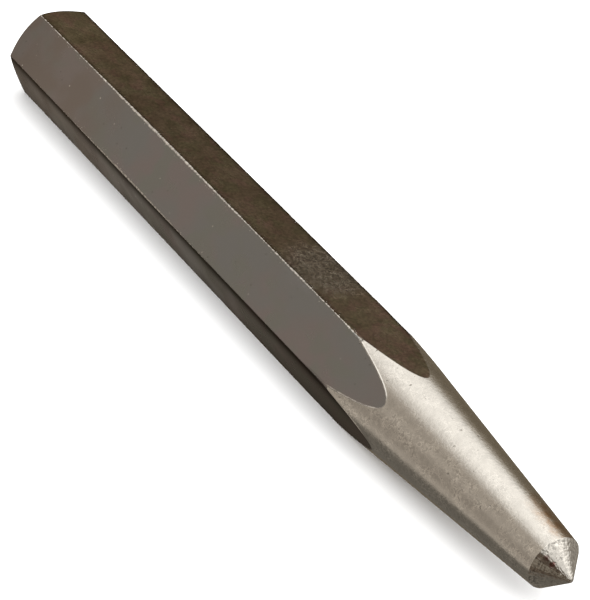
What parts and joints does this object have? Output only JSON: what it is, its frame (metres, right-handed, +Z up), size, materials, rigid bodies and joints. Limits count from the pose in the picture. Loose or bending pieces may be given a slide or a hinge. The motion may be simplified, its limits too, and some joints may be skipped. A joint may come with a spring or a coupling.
{
  "type": "centre punch",
  "caption": "One-piece hexagonal steel bar with a bevelled striking head, a ground taper and a 90 degree conical point, for marking hole centres in metal.",
  "frame": {"origin": "under the middle of the punch, on the flat it lies on", "axes": "+X along the punch's axis from the struck head to the point, +Z up out of the flat it lies on, +Y across a pair of corners"},
  "size_m": [0.127, 0.0146, 0.0127],
  "materials": {
    "tool_steel": "satin warm-grey heat-treated flats with bright worn edges; taper and point ground to bright steel"
  },
  "bodies": {
    "root": {"punch": "tool_steel"}
  },
  "joints": []
}
